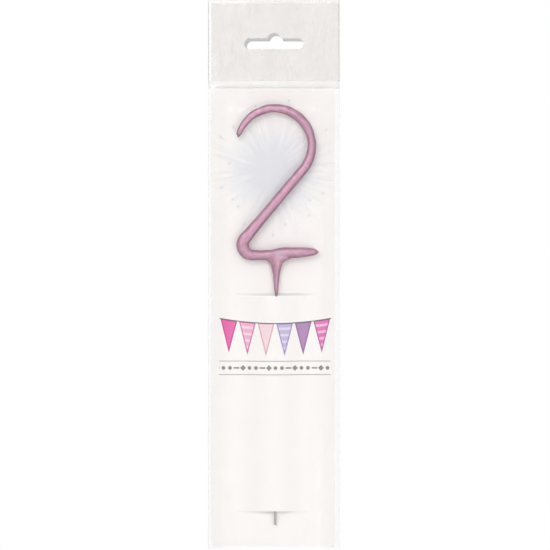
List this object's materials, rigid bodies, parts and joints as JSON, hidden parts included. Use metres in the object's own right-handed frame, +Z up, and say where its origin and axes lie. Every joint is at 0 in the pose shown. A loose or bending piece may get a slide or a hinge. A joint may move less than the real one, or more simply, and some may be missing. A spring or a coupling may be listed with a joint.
{
  "type": "number sparkler candle",
  "caption": "Figure-shaped sparkler candle on a wire stick, threaded through a slit card inside a clear hanging bag; it slides out of the bag and off the card.",
  "frame": {"origin": "where a peg bears: the middle of the top of the hang slot, half way through the header's layers", "axes": "+Z up along the stick and the bag, -Y out of the front of the pack, +X to the right seen from the front"},
  "size_m": [0.0566, 0.0072, 0.2348],
  "materials": {
    "clear_film": "clear gloss packing film, lightly crinkled",
    "liner_film": "milky clear packing film",
    "printed_card": "uncoated off-white board with a printed front",
    "sparkler_coating": "smooth metallic pink dipped coating",
    "dark_steel_wire": "dull dark steel",
    "bright_steel_wire": "drawn steel wire"
  },
  "bodies": {
    "bag": {"bag_front_film": "clear_film", "bag_back_film": "clear_film", "header_liner": "liner_film"},
    "sparkler": {"sparkler_coating": "sparkler_coating", "numeral_wire": "dark_steel_wire", "stem_wire": "bright_steel_wire", "weld_bead": "dark_steel_wire"},
    "card": {"insert_card": "printed_card"}
  },
  "joints": [
    {"name": "slide_out_of_bag", "type": "slide", "parent": "bag", "child": "sparkler", "axis": [0, 0, -1], "range_m": [0, 0.2]},
    {"name": "card_off_stick", "type": "slide", "parent": "sparkler", "child": "card", "axis": [0, 0, -1], "range_m": [0, 0.1]}
  ]
}
